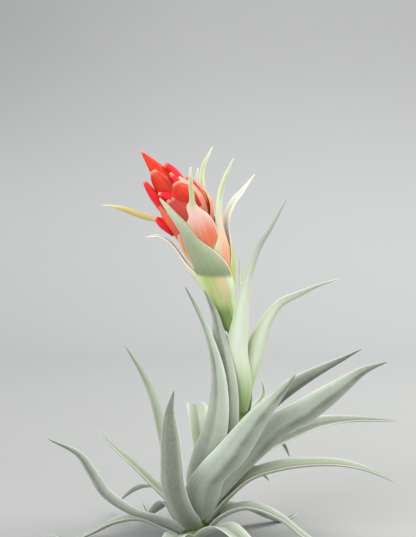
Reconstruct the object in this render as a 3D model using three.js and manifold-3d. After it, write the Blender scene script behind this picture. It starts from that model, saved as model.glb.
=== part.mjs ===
// A flowering air plant, picked whole and standing by itself. A leaning stem carries channelled silvery
// leaves all the way round, then a stalk with clasping bracts, and at the top a head of pink bracts with
// orange bracts and red flowers inside it. It stands on the foot of its stem and on its lowest leaves.
// Millimetres, +Z up. The origin is the middle of the stem's flat foot, on the surface the plant stands on.
import * as THREE from "three";
import { mergeVertices } from "three/addons/utils/BufferGeometryUtils.js";
import Module from "manifold-3d";

const wasm = await Module();
wasm.setup();

// Driving dimensions

// The middle of the stem, from its foot up through the stalk to the end of the head's axis.
const STEM_LINE = [
  [0, 0, 0], [2, 0, 10], [6.5, 0, 21], [10.5, 0, 31.5], [15, 0, 41.5], [19, 0, 51.5], [22, 0, 62],
  [24, 0, 73], [23.6, 0, 83.5], [21.3, 0, 93.5], [17.8, 0, 103], [14.6, 0, 111.5], [11.5, -0.5, 121],
  [7.5, -1, 132], [3.5, -2, 142.5], [-1.5, -3, 153], [-6.5, -4, 161.5], [-13.4, -5, 170.5], [-21.7, -6, 180],
];
const STEM_TOP = 160; // height where the solid stem ends, inside the head
const STEM_RADII = [5.2, 5.4, 5.2, 4.6, 3.9, 3.2, 2.8, 2.6, 2.7, 2.8, 2.5, 2, 1];
const STEM_SIDES = 12;
const STEM_RINGS = 20;
const GAP = 0.3; // clear space between pieces that touch on the plant
const RIM = 0.6; // thickness of a blade at its margins
const HEAD_TIP = 181; // height of the head's highest bract above the surface

// Forms: half-width as a share of the piece's own, thickness in mm and half-angle of the channel in
// degrees, each evenly spaced from the seat to the tip. The keel is how sharply the channel is folded.
const LEAF = {
  steps: 10, keel: 0.3,
  wide: [1.1, 1.15, 1.07, 1, 0.95, 0.87, 0.76, 0.62, 0.44, 0.24, 0.07],
  thick: [1.1, 1.3, 1.5, 1.5, 1.4, 1.3, 1.2, 1.1, 1, 0.8, 0.6],
  cup: [66, 58, 50, 46, 46, 46, 46, 46, 46, 46, 46],
};
const BLUNT_LEAF = {
  ...LEAF,
  wide: [1.1, 1.15, 1.07, 1, 0.98, 0.95, 0.9, 0.8, 0.64, 0.33, 0.07],
};
const SLENDER_LEAF = {
  ...LEAF,
  wide: [1.1, 1.15, 1.07, 1, 0.9, 0.74, 0.55, 0.38, 0.25, 0.14, 0.07],
};
const LOW_LEAF = {
  steps: 10, keel: 0.5,
  wide: [0.75, 0.9, 1, 1, 0.95, 0.87, 0.76, 0.62, 0.44, 0.24, 0.07],
  thick: [1.1, 1.3, 1.5, 1.5, 1.4, 1.3, 1.2, 1.1, 1, 0.8, 0.6],
  cup: [40, 42, 44, 44, 42, 40, 38, 36, 36, 36, 36],
};
const STALK_BRACT = {
  steps: 10, keel: 0.2,
  wide: [0.8, 0.95, 1.02, 0.98, 0.67, 0.46, 0.37, 0.28, 0.17, 0.08],
  thick: [0.9, 1, 1, 1, 0.95, 0.9, 0.85, 0.8, 0.7, 0.6],
  cup: [56, 58, 60, 56, 50, 46, 42, 40, 40, 40],
};
const HEAD_SHEATH = {
  steps: 10, keel: 0,
  wide: [0.42, 0.6, 0.76, 0.88, 0.88, 0.7, 0.47, 0.32, 0.24, 0.17, 0.06],
  thick: [0.9, 1, 1, 1, 1, 1, 0.9, 0.9, 0.8, 0.8, 0.6],
  cup: [66, 66, 60, 56, 52, 50, 46, 44, 42, 40, 40],
};
const HEAD_BRACT = {
  steps: 10, keel: 0.1,
  wide: [0.5, 0.78, 0.98, 1.04, 0.92, 0.62, 0.34, 0.24, 0.19, 0.14, 0.06],
  thick: [0.9, 1, 1, 1, 1, 0.9, 0.8, 0.8, 0.75, 0.7, 0.6],
  cup: [54, 48, 44, 42, 40, 40, 38, 36, 36, 36, 36],
};
const SHORT_BODY = {
  ...HEAD_BRACT,
  wide: [0.5, 0.8, 1, 1.02, 0.78, 0.42, 0.28, 0.25, 0.23, 0.17, 0.06],
};
const BULB_BODY = {
  ...HEAD_BRACT,
  wide: [0.5, 0.78, 0.98, 1.06, 1.08, 1, 0.74, 0.2, 0.13, 0.11, 0.06],
};
const BROAD_TAIL = {
  ...HEAD_BRACT,
  wide: [0.5, 0.8, 1, 0.95, 0.7, 0.45, 0.36, 0.33, 0.27, 0.17, 0.06],
};
const FLOWER_BRACT = {
  steps: 7, keel: 0.1,
  wide: [0.45, 0.8, 1, 1.03, 0.92, 0.68, 0.36, 0.08],
  thick: [0.9, 1, 1, 0.95, 0.9, 0.85, 0.75, 0.6],
  cup: [45, 44, 42, 42, 42, 44, 46, 46],
};
const BLUNT_BRACT = {
  ...FLOWER_BRACT,
  wide: [0.45, 0.8, 1, 1.03, 1, 0.95, 0.8, 0.3],
};
const FLOWER = { steps: 6, sides: 9, radius: [0.8, 1.2, 1.6, 1.95, 2.05, 1.7, 0.7], lobes: 0.16 };

// Colours
const LEAF_GREY = { color: 0xb4c0ac, roughness: 0.8, metalness: 0 };
const STALK_GREEN = { color: 0xd0e0b8, roughness: 0.7, metalness: 0 };
const STEM_GREEN = { color: 0x78aa32, roughness: 0.6, metalness: 0 };
const BRACT_PINK = { color: 0xf0b09a, roughness: 0.6, metalness: 0 };
const BRACT_ORANGE = { color: 0xee5a32, roughness: 0.5, metalness: 0 };
const PETAL_RED = { color: 0xe0203a, roughness: 0.45, metalness: 0 };

// Every piece starts on the stem: climb is its height there, around its direction (0 is +X, 90 is +Y) and
// reach its distance from the stem's middle. Lists of them follow a piece up along the stem. Through is
// the places its midrib passes after that, and roll turns the blade about its midrib, seat to tip.
const LEAVES = [
  { name: "leaf_left_outer", width: 11, roll: [0, 20, 35], climb: [6], around: 210,
    through: [[-13.5, -7, 13], [-27, -12, 18.5], [-38, -15, 27], [-44, -17, 37.5], [-50, -18, 46.5],
      [-62.5, -19, 53.5]] },
  { name: "leaf_left_front", width: 13.5, form: BLUNT_LEAF, climb: [8], around: 245,
    through: [[-5, -20, 21], [-8, -29, 33], [-8.5, -33, 44], [-8.9, -34, 56.5], [-8.6, -33, 68],
      [-6.5, -31, 77]] },
  { name: "leaf_back_low", width: 12, climb: [9], around: 70, through: [[9, 17, 17], [16, 30, 24],
      [24, 43, 26], [32, 55, 22], [39, 65, 14]] },
  { name: "leaf_left_slim", width: 9, roll: [0, -20, -20], climb: [11.5], around: 195,
    through: [[-9, -4, 20.5], [-18, -7, 30.5], [-25.5, -9, 39], [-33.5, -11, 47], [-41.5, -12, 55.5]] },
  { name: "leaf_right_arching", width: 13, roll: [0, 5, 12, 10], climb: [12], around: 10,
    through: [[16.5, 3, 20], [27.5, 5, 29.5], [41.5, 8, 33.5], [55.5, 10, 35], [69.5, 12, 34.5],
      [82.5, 13, 31.5], [98.5, 14, 24.5]] },
  { name: "leaf_right_front", width: 18, roll: [0, -10, -20, -15], climb: [14], around: 290,
    through: [[7, -17, 29], [11.5, -23, 38], [18.5, -26, 47], [30.5, -28, 65], [42, -26, 78],
      [46, -25, 83]] },
  { name: "leaf_back_left", width: 12, climb: [14.5], around: 130, through: [[-6, 15, 18], [-14, 26, 20],
      [-22, 37, 18], [-29, 47, 13], [-36, 56, 6]] },
  { name: "leaf_left_tall", width: 10.8, roll: [0, 40, 60, 60], climb: [17], around: 165,
    through: [[-5.5, 4, 21.5], [-10.5, 7, 31], [-13.5, 7, 47.5], [-17, 5, 65], [-22, 3, 78.5],
      [-29.3, 0, 92]] },
  { name: "leaf_back_drooping", width: 11, climb: [19], around: 75, through: [[14, 15, 32], [24, 30, 41],
      [37, 42, 42], [45, 50, 36], [48.5, 54, 29]] },
  { name: "leaf_tall_front", width: 14.5, form: SLENDER_LEAF, climb: [20], around: 245,
    through: [[3.5, -14, 33], [6.5, -18, 46], [10, -19, 56.5], [12, -18, 68.5], [12, -15.5, 81.5],
      [9.5, -12, 94], [5, -9, 106], [-2, -7, 119.5]] },
  { name: "leaf_right_broad", width: 19, roll: [0, -30, -55, -55], climb: [22], around: 330,
    through: [[22, -8, 34.5], [29, -11.5, 44], [39, -15, 56], [51, -17, 64], [63.5, -18, 73.5],
      [76, -18, 83], [86.5, -18, 87.5]] },
  { name: "leaf_left_curling", width: 14, climb: [24], around: 125, through: [[5.5, 14, 38.5],
      [4, 17, 47.5], [3, 21, 54], [2.5, 28, 57.5], [2, 38, 57.5], [1, 48, 55.5], [0, 56, 51]] },
  { name: "leaf_right_level", width: 12, roll: [0, 20, 20, 10], climb: [27], around: 35,
    through: [[22, 8, 36], [34.5, 13, 42.5], [46.5, 18, 47], [58.5, 22, 51], [73, 26, 52.5],
      [87.5, 29, 52], [100.5, 31, 51]] },
  { name: "leaf_back_broad", width: 12, climb: [30], around: 88, through: [[16, 15, 44], [19, 26, 52],
      [23, 38, 55], [27, 50, 52], [31, 59, 45]] },
  { name: "leaf_right_upper", width: 14, roll: [0, -35, -50, -40], climb: [33], around: 355,
    through: [[26, 0, 49], [33, -4.5, 60.5], [39.5, -8.5, 68.5], [47.5, -11, 75.5], [58, -11, 82],
      [67.5, -10, 87], [76.5, -9, 92]] },
  { name: "leaf_back_rising", width: 9, climb: [36.5], around: 75, through: [[22.5, 14, 47], [29, 23, 56],
      [34.5, 30, 64], [34, 34, 70.5]] },
  { name: "leaf_tall_inner", width: 11, climb: [40], around: 280, through: [[17, -11.5, 54],
      [17.5, -12.5, 65], [17.2, -11, 76], [15.8, -9, 87], [13.3, -7.5, 98], [11, -8.5, 108],
      [6.5, -11, 118.5]] },
];

// The lowest leaves arch down to the surface and carry the plant: direction, width, and how far out and
// how high the midrib passes. Each is trimmed flat where it meets the surface.
const LOW_LEAVES = [
  { name: "leaf_low_right", climb: 5.5, around: 352, width: 12,
    out: [14, 26, 40, 53, 66, 78], high: [13, 18, 14, 5, -0.3, 3.5] },
  { name: "leaf_low_back_right", climb: 3.5, around: 42, width: 11,
    out: [14, 25, 37, 49, 60, 70], high: [9, 13, 10, 4, 0, 2.5] },
  { name: "leaf_low_back_left", climb: 4.5, around: 112, width: 11,
    out: [14, 24, 35, 47, 58, 67], high: [9, 13, 10, 4, -0.3, 3.5] },
  { name: "leaf_low_left", climb: 3.5, around: 172, width: 11,
    out: [14, 24, 35, 46, 56, 66], high: [8, 11, 9, 3.5, 0, 2.5] },
  { name: "leaf_low_front_left", climb: 3.5, around: 255, width: 11,
    out: [14, 24, 34, 45, 55, 64], high: [7, 10, 8, 3.5, 0, 3] },
  { name: "leaf_low_front_right", climb: 4.5, around: 308, width: 12,
    out: [14, 25, 37, 49, 61, 72], high: [9, 13, 10, 4, 0, 3] },
];

const STALK_BRACTS = [
  { name: "stalk_bract_front", width: 11, climb: [62, 70, 79], reach: [3.9, 5.2, 6.2],
    around: [275, 270, 261], through: [[21.5, -6.5, 91], [22.5, -7, 102.5], [24, -8, 114],
      [26.5, -9, 126], [30.5, -10, 137.5], [35.5, -11, 146], [43, -12, 159.5]] },
  { name: "stalk_bract_right", width: 13, roll: [0, -50, -50, -20], climb: [68, 76], reach: [3.7, 4.4],
    around: [355, 358], through: [[31, 1, 86], [32.6, 1, 94.5], [35.4, 1.5, 102.8], [41, 3, 110.5],
      [50, 4, 115], [59, 5, 119], [68, 6, 122]] },
  { name: "stalk_bract_behind", width: 9, climb: [54, 62], reach: [4.3, 5.6], around: [40, 38],
    through: [[27.5, 4.5, 73.5], [28.5, 7, 84], [30, 9, 92], [32.5, 11, 98.5]] },
  { name: "stalk_bract_back", width: 9, climb: [76, 84, 92], reach: [4, 5, 6], around: [125, 120, 95],
    through: [[24.5, 9, 112], [23, 9.5, 121], [22.7, 9, 132]] },
  { name: "stalk_bract_left", width: 8, climb: [84, 90, 96, 101, 106], reach: [3.8, 4.2, 4.8, 5.6, 6.6],
    around: 215 },
];

const HEAD_BRACTS = [
  { name: "head_bract_front", width: 20, form: HEAD_SHEATH,
    climb: [100, 106, 112, 119, 127, 134, 141, 150.5, 164],
    reach: [3.6, 4.4, 6.2, 8.6, 10.6, 11.8, 12.4, 12.8, 12],
    around: [272, 270, 270, 273, 271, 266, 257, 253, 240] },
  { name: "head_bract_right", width: 12, form: BROAD_TAIL, roll: [0, 0, 30, 80, 90],
    climb: [102, 111, 120, 128, 136, 143, 148, 150, 153],
    reach: [3.8, 5.4, 8.6, 11.4, 12.7, 14.4, 20.2, 26, 34.5], around: [345, 352, 2, 6, 6, 4, 6, 8, 8] },
  { name: "head_bract_right_front", width: 13, form: SHORT_BODY,
    climb: [114, 121, 128, 134, 140, 148, 155, 160.8], reach: [3.8, 6.2, 8.6, 10, 11.2, 14.6, 19.8, 30.6],
    around: [305, 311, 318, 325, 331, 338, 345, 351] },
  { name: "head_bract_middle", width: 18, form: BULB_BODY,
    climb: [123, 130, 137, 145, 152, 157.8, 162.4, 166.2],
    reach: [3.6, 5.8, 8.2, 10.2, 11.6, 12.9, 14.9, 17.7],
    around: [272, 270, 268, 274, 283, 298, 309, 318] },
  { name: "head_bract_behind_right", width: 11.5, roll: [0, 0, 30, 60, 60],
    climb: [126, 132, 139, 147, 152.8, 157.6, 162.4, 165.8],
    reach: [3.5, 5.6, 8.2, 9.4, 10.4, 12.8, 17.4, 26.3], around: [40, 40, 40, 40, 38, 32, 26, 19] },
  { name: "head_bract_left", width: 12, form: BROAD_TAIL, roll: [0, 0, 30, 60, 60],
    climb: [124, 130, 137, 143, 148, 155, 160.6, 169.8, 175],
    reach: [3.4, 5.6, 7.8, 9.2, 10.6, 14.2, 18.4, 24.2, 28.7],
    around: [165, 165, 166, 168, 170, 174, 178, 182, 184] },
  { name: "head_bract_left_behind", width: 13, roll: [0, 0, 0, -20, -40],
    climb: [112, 118, 125, 132, 139, 144.5, 147.8, 149.5],
    reach: [3.8, 5.6, 8.4, 11, 12.8, 15.4, 19.5, 26.3],
    around: [178, 175, 172, 167, 160, 155, 152, 150] },
  { name: "head_bract_behind", width: 12, climb: [124, 131, 138, 146, 153, 159, 162.8],
    reach: [3.4, 6.4, 9.6, 12, 14, 16.6, 20], around: [75, 76, 78, 76, 70, 58, 48] },
  { name: "head_bract_back", width: 14, climb: [109, 116, 124, 132, 140, 147, 154, 160],
    reach: [3.8, 6.6, 9.8, 12.2, 14, 16.4, 20, 25], around: [100, 100, 100, 101, 102, 102, 103, 104] },
];

const FLOWER_BRACTS = [
  { name: "flower_bract_tip_front", width: 9, climb: [155, 160, 166, 171, 176, HEAD_TIP],
    reach: [2.4, 3.2, 3, 2.2, 1.2, 0.3], around: 270 },
  { name: "flower_bract_tip_back", width: 9, climb: [153, 158, 164, 169, 174, 178],
    reach: [2.4, 3.4, 3.4, 2.9, 2.1, 1.4], around: 95 },
  { name: "flower_bract_upper_front", width: 10, form: BLUNT_BRACT,
    climb: [148, 153, 158, 164, 169, 172.6], reach: [3, 5.2, 6.6, 6.6, 5.2, 3.4],
    around: [248, 246, 244, 243, 241, 238] },
  { name: "flower_bract_upper_middle", width: 12, form: BLUNT_BRACT,
    climb: [145, 150, 155, 159.4, 162.8, 165], reach: [3.2, 6.4, 9.4, 10.8, 10.8, 9.8],
    around: [284, 286, 288, 290, 292, 294] },
  { name: "flower_bract_upper_right", width: 15, form: BLUNT_BRACT,
    climb: [139, 145, 151, 157, 162, 165.5], reach: [3.4, 6.8, 9, 9.6, 8.8, 7.2],
    around: [324, 324, 326, 329, 329, 326] },
  { name: "flower_bract_upper_back", width: 10, climb: [144, 149, 154, 160, 165, 170],
    reach: [3.2, 5.8, 7.6, 7.6, 6.4, 4.6], around: 58 },
  { name: "flower_bract_left", width: 11, climb: [140, 146, 152, 158, 164, 169.5],
    reach: [3.4, 6.2, 8.6, 10, 10.4, 9.4], around: [178, 178, 178, 179, 181, 183] },
  { name: "flower_bract_front", width: 13, form: BLUNT_BRACT, climb: [136, 142, 148, 153.5, 158.2, 161.6],
    reach: [3.4, 6.8, 9.6, 11.3, 11.4, 10.8], around: [262, 262, 261, 259, 257, 256] },
  { name: "flower_bract_left_front", width: 11, climb: [133, 139, 145, 151, 157, 162.8],
    reach: [3.4, 6.6, 9.4, 11, 11.2, 9.8], around: [217, 217, 217, 216, 214, 212] },
  { name: "flower_bract_left_back", width: 11, climb: [141, 147, 153, 159, 165, 169],
    reach: [3.4, 5.4, 7, 7.6, 6.8, 5.4], around: 135 },
  { name: "flower_bract_back", width: 11, climb: [138, 144, 150, 156, 162, 166],
    reach: [3.4, 6.4, 8.8, 9.4, 8.6, 7.2], around: 97 },
  { name: "flower_bract_right", width: 11, climb: [138, 143, 148, 152, 155.5, 158],
    reach: [3.4, 7.2, 10.4, 12, 12, 11.2], around: 8 },
];

const FLOWERS = [
  { name: "flower_left_upper", climb: [148, 153, 159, 164, 168, 171.5],
    reach: [5.2, 7, 8.2, 8.9, 8.9, 8.2], around: [222, 216, 211, 208, 205, 203] },
  { name: "flower_front", climb: [150, 154, 157.8, 161.3, 165], reach: [6, 7, 8, 8.9, 9.8],
    around: [268, 266, 263, 257.5, 239] },
  { name: "flower_left_lower", climb: [147, 149.5, 152, 154.5, 157], reach: [10.4, 11.2, 12, 12.8, 13.6],
    around: [202, 202, 201, 199, 197] },
  { name: "flower_upper_middle", climb: [150, 154, 158, 163, 167.6], reach: [3.6, 4.6, 5.6, 6.4, 6.8],
    around: [308, 308, 307, 306, 306] },
  { name: "flower_tip", climb: [154, 158, 162, 167, 171.5], reach: [3.4, 4.6, 5, 5, 4.6], around: 350 },
  { name: "flower_right", climb: [147, 151, 155.5, 159.5, 163.3], reach: [6.2, 8, 8.8, 8.8, 8.4],
    around: 28 },
  { name: "flower_left_back", climb: [146, 150, 155, 159, 163], reach: [7.8, 9.6, 10.8, 11.2, 10.8],
    around: 140 },
  { name: "flower_back", climb: [144, 148, 153, 158, 162.5], reach: [8.4, 10.4, 11.6, 12, 11.8],
    around: 92 },
];

// Smooth value at t (0 to 1) of a list of evenly spaced values.
function ease(values, t) {
  const last = values.length - 1;
  const place = Math.min(Math.max(t, 0), 1) * last;
  const i = Math.min(Math.floor(place), last - 1);
  const f = place - i;
  const before = i > 0 ? values[i - 1] : 2 * values[0] - values[1];
  const after = i + 2 <= last ? values[i + 2] : 2 * values[last] - values[last - 1];
  const [a, b] = [values[i], values[i + 1]];
  const bend = 2 * before - 5 * a + 4 * b - after;
  return 0.5 * (2 * a + (b - before) * f + bend * f * f + (3 * a - before - 3 * b + after) * f ** 3);
}

const vector = (p) => new THREE.Vector3(...p);
const curve = (points) => new THREE.CatmullRomCurve3(points, false, "catmullrom", 0.5);
const stemLine = curve(STEM_LINE.map(vector));

// Point and direction of the stem's middle at a height above the surface.
function stemAt(height) {
  let [low, high] = [0, 1];
  for (let i = 0; i < 30; i++) {
    const middle = (low + high) / 2;
    if (stemLine.getPoint(middle).z < height) low = middle;
    else high = middle;
  }
  return { point: stemLine.getPoint(low), along: stemLine.getTangent(low) };
}

const stemRadius = (height) => ease(STEM_RADII, height / STEM_TOP);

// Unit direction that points away from the stem at an angle round it.
function outward(along, degrees) {
  const right = new THREE.Vector3(1, 0, 0).addScaledVector(along, -along.x).normalize();
  const back = along.clone().cross(right);
  const turn = THREE.MathUtils.degToRad(degrees);
  return right.multiplyScalar(Math.cos(turn)).addScaledVector(back, Math.sin(turn));
}

// Places along the midrib of a piece: the ones along the stem, then the free ones.
function pathOf(piece) {
  const { climb, reach, around, through = [] } = piece;
  const onStem = climb.map((height, i) => {
    const { point, along } = stemAt(height);
    const distance = reach ? reach[i] : stemRadius(height) + GAP + LEAF.thick[0] / 2;
    return point.addScaledVector(outward(along, Array.isArray(around) ? around[i] : around), distance);
  });
  return [...onStem, ...through.map(vector)];
}

// Closed solid of a channelled blade along a midrib. Each ring goes across the upper face and back
// across the lower one. A blade that is grown is thicker by that much on each face and at each margin.
const ACROSS = 5;
function bladeGeometry(piece, form, grow = 0) {
  const midrib = curve(pathOf(piece));
  const facing = THREE.MathUtils.degToRad(Array.isArray(piece.around) ? piece.around[0] : piece.around);
  const sideways = new THREE.Vector3(-Math.sin(facing), Math.cos(facing), 0);
  const positions = [];
  for (let i = 0; i <= form.steps; i++) {
    const t = i / form.steps;
    const middle = midrib.getPointAt(t);
    const along = midrib.getTangentAt(t);
    const side = sideways.clone().addScaledVector(along, -sideways.dot(along)).normalize();
    side.applyAxisAngle(along, THREE.MathUtils.degToRad(ease(piece.roll ?? [0, 0], t)));
    const inner = along.clone().cross(side);
    const cup = THREE.MathUtils.degToRad(ease(form.cup, t));
    const halfWidth = (piece.width / 2) * ease(form.wide, t);
    const radius = halfWidth / cup;
    const depth = radius * (1 - Math.cos(cup));
    const spread = cup * (1 + grow / halfWidth);
    const thick = ease(form.thick, t);
    for (let k = 0; k < 2 * ACROSS; k++) {
      const upper = k < ACROSS;
      const u = upper ? (2 * k) / (ACROSS - 1) - 1 : 1 - (2 * (k - ACROSS)) / (ACROSS - 1);
      const half = (RIM + (thick - RIM) * (1 - u * u)) / 2 + grow;
      const reach = radius - (upper ? half : -half);
      const fold = form.keel * depth * (Math.abs(u) - u * u);
      positions.push(...middle.clone()
        .addScaledVector(side, reach * Math.sin(spread * u))
        .addScaledVector(inner, radius - reach * Math.cos(spread * u) + fold).toArray());
    }
  }
  return closedLoft(positions, 2 * ACROSS, form.steps);
}

// Closed solid of a flower: a tube of three petals whose tips stand out as lobes.
function flowerGeometry(flower, grow = 0) {
  const middleLine = curve(pathOf(flower));
  const positions = [];
  for (let i = 0; i <= FLOWER.steps; i++) {
    const t = i / FLOWER.steps;
    const middle = middleLine.getPointAt(t);
    const along = middleLine.getTangentAt(t);
    for (let k = 0; k < FLOWER.sides; k++) {
      const turn = (-360 * k) / FLOWER.sides;
      const lobe = 1 + FLOWER.lobes * t * Math.cos(THREE.MathUtils.degToRad(3 * turn));
      const radius = ease(FLOWER.radius, t) * lobe + grow;
      positions.push(...middle.clone().addScaledVector(outward(along, turn), radius).toArray());
    }
  }
  return closedLoft(positions, FLOWER.sides, FLOWER.steps);
}

// The stem: rings square to its middle line, the first one flat on the surface.
function stemGeometry(grow = 0) {
  const positions = [];
  for (let i = 0; i <= STEM_RINGS; i++) {
    const height = (STEM_TOP * i) / STEM_RINGS;
    const { point, along } = stemAt(height);
    for (let k = 0; k < STEM_SIDES; k++) {
      const away = outward(along, (-360 * k) / STEM_SIDES);
      const ring = point.clone().addScaledVector(away, stemRadius(height) + grow);
      positions.push(ring.x, ring.y, i === 0 ? 0 : ring.z);
    }
  }
  return closedLoft(positions, STEM_SIDES, STEM_RINGS);
}

// Joins rings of points into a closed solid. Each end is capped across, from one side to the other.
function closedLoft(positions, around, steps) {
  const index = [];
  for (let i = 0; i < steps; i++) {
    for (let k = 0; k < around; k++) {
      const [a, b] = [i * around + k, i * around + ((k + 1) % around)];
      index.push(a, a + around, b, b, a + around, b + around);
    }
  }
  const end = steps * around;
  for (let low = 0, high = around - 1; high - low > 1; low++, high--) {
    index.push(low, low + 1, high, end + low, end + high, end + low + 1);
    if (high - low > 2) index.push(low + 1, high - 1, high, end + low + 1, end + high, end + high - 1);
  }
  const geometry = new THREE.BufferGeometry();
  geometry.setAttribute("position", new THREE.Float32BufferAttribute(positions, 3));
  geometry.setIndex(index);
  return geometry;
}

function solidOf(geometry) {
  const merged = mergeVertices(geometry, 1e-4);
  return new wasm.Manifold(new wasm.Mesh({
    numProp: 3,
    vertProperties: merged.attributes.position.array,
    triVerts: new Uint32Array(merged.index.array),
  }));
}

function geometryOf(solid) {
  const mesh = solid.getMesh();
  const geometry = new THREE.BufferGeometry();
  geometry.setAttribute("position", new THREE.BufferAttribute(mesh.vertProperties, 3));
  geometry.setIndex(new THREE.BufferAttribute(mesh.triVerts, 1));
  return geometry;
}

const plant = new THREE.Group();
const placed = [];

// Adds a piece. Where it would cross one placed before it, it is cut back to a gap from that one, and
// keeps its largest part.
function addPiece(name, shape, material, floor = []) {
  let solid = solidOf(shape(0));
  const crossed = placed.filter((other) => !solid.intersect(other.solid).isEmpty());
  for (const other of crossed) solid = solid.subtract(solidOf(other.shape(GAP)));
  for (const block of floor) solid = solid.subtract(block);
  solid = solid.decompose().sort((a, b) => b.volume() - a.volume())[0];
  placed.push({ solid, shape });
  const geometry = geometryOf(solid);
  geometry.computeVertexNormals();
  const mesh = new THREE.Mesh(geometry, new THREE.MeshStandardMaterial(material));
  mesh.name = name;
  plant.add(mesh);
}

// The lowest leaves in the same terms as the others: free places worked out from their reach.
function lowLeaf({ name, climb, around, width, out, high }) {
  const turn = THREE.MathUtils.degToRad(around);
  const through = out.map((r, i) => [r * Math.cos(turn), r * Math.sin(turn), high[i]]);
  return { name, climb: [climb], around, width, through };
}

const FLOOR_SIZE = 300;
const below = new THREE.BoxGeometry(FLOOR_SIZE, FLOOR_SIZE, FLOOR_SIZE);
below.deleteAttribute("normal");
below.deleteAttribute("uv");
below.translate(0, 0, -FLOOR_SIZE / 2);
const belowSurface = solidOf(below);

addPiece("stem", stemGeometry, STEM_GREEN);
for (const leaf of LOW_LEAVES) {
  addPiece(leaf.name, (grow) => bladeGeometry(lowLeaf(leaf), LOW_LEAF, grow), LEAF_GREY, [belowSurface]);
}
for (const leaf of LEAVES) {
  addPiece(leaf.name, (grow) => bladeGeometry(leaf, leaf.form ?? LEAF, grow), LEAF_GREY);
}
for (const bract of STALK_BRACTS) {
  addPiece(bract.name, (grow) => bladeGeometry(bract, STALK_BRACT, grow), STALK_GREEN);
}
for (const flower of FLOWERS) addPiece(flower.name, (grow) => flowerGeometry(flower, grow), PETAL_RED);
for (const bract of HEAD_BRACTS) {
  addPiece(bract.name, (grow) => bladeGeometry(bract, bract.form ?? HEAD_BRACT, grow), BRACT_PINK);
}
for (const bract of FLOWER_BRACTS) {
  addPiece(bract.name, (grow) => bladeGeometry(bract, bract.form ?? FLOWER_BRACT, grow), BRACT_ORANGE);
}

export default plant;
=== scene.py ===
# A flowering air plant, picked whole, as it stands on a pale table. A leaning stem carries channelled leaves
# with silvery scurf, a stalk with clasping bracts, and a head of pink and orange bracts with red flowers.
# Places and sizes on the plant are in millimetres. The view, the table, the lights and the depths of its
# skins are in metres.
import math

import bpy
import numpy as np
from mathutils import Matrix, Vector


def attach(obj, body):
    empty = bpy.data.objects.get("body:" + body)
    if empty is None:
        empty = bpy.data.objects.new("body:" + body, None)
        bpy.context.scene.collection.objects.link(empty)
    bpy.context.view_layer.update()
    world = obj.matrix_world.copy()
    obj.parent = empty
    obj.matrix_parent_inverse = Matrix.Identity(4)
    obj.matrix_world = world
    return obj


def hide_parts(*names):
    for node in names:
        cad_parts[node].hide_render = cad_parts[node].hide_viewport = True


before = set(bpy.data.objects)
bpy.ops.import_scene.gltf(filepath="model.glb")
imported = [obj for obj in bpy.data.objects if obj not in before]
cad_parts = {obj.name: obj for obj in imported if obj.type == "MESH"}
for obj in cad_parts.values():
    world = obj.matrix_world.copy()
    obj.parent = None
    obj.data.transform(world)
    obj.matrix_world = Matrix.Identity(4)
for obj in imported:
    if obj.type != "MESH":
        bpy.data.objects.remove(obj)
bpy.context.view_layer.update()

# The view. The plant is seen from the front and a little above, through a long lens, so that the leaves
# that come forward look hardly bigger than the ones behind. A pixel of the picture is 0.45 mm at the plant.
LOOKED_AT = Vector((0.0081, 0, 0.1272))
VIEW_RISE = math.radians(5)
LENS_MM, SENSOR_MM = 90, 36
PICTURE_HEIGHT_PIXELS = 537
METRES_A_PIXEL = 0.00045
towards_view = Vector((0, -math.cos(VIEW_RISE), math.sin(VIEW_RISE)))
lens = bpy.data.cameras.new("view")
lens.lens = LENS_MM
lens.sensor_width = SENSOR_MM
view = bpy.data.objects.new("view", lens)
view.location = LOOKED_AT + towards_view * (LENS_MM / SENSOR_MM * PICTURE_HEIGHT_PIXELS * METRES_A_PIXEL)
view.rotation_euler = towards_view.to_track_quat("Z", "Y").to_euler()
bpy.context.scene.collection.objects.link(view)
bpy.context.scene.camera = view


# The stem is one green rod that stands on its flat foot, leans over, straightens in the stalk and leans the
# other way in the head. Its skin is smooth and waxy, with a faint swelling at each scar where a leaf sat.
MM = 0.001
STEM_LINE_MM = [
    (0, 0, 0), (2, 0, 10), (6.5, 0, 21), (10.5, 0, 31.5), (15, 0, 41.5), (19, 0, 51.5), (22, 0, 62),
    (24, 0, 73), (23.6, 0, 83.5), (21.3, 0, 93.5), (17.8, 0, 103), (14.6, 0, 111.5), (11.5, -0.5, 121),
    (7.5, -1, 132), (3.5, -2, 142.5), (-1.5, -3, 153), (-6.5, -4, 161.5), (-13.4, -5, 170.5),
    (-21.7, -6, 180),
]
# the line runs on above the stem's own top, because the uppermost bracts are set along it
STEM_TOP_MM = 160
STEM_RADII_MM = [5.2, 5.4, 5.2, 4.6, 3.9, 3.2, 2.8, 2.6, 2.7, 2.8, 2.5, 2, 1]
SCAR_RISE, SCAR_RATE = 0.02, 1.3
STEM_SIDES, STEM_RINGS, STEM_SAMPLES = 28, 90, 2000
STEM_DARK, STEM_LIGHT, STEM_STREAK = (0.15, 0.30, 0.03, 1), (0.33, 0.48, 0.08, 1), (0.50, 0.62, 0.22, 1)
# round a rod, this many degrees count as half the width of a blade
ROD_DEGREES = 60


def ease(values, t):
    """Smooth value at t (0 to 1) of evenly spaced values. Values and t may be arrays."""
    values = np.asarray(values, float)
    last = len(values) - 1
    place = np.clip(t, 0, 1) * last
    i = np.minimum(np.floor(place).astype(int), last - 1)
    f = place - i
    padded = np.concatenate([[2 * values[0] - values[1]], values, [2 * values[last] - values[last - 1]]])
    before, a, b, after = padded[i], padded[i + 1], padded[i + 2], padded[i + 3]
    if values.ndim > 1:
        f = f[:, None]
    bend = 2 * before - 5 * a + 4 * b - after
    return 0.5 * (2 * a + (b - before) * f + bend * f**2 + (3 * a - before - 3 * b + after) * f**3)


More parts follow.
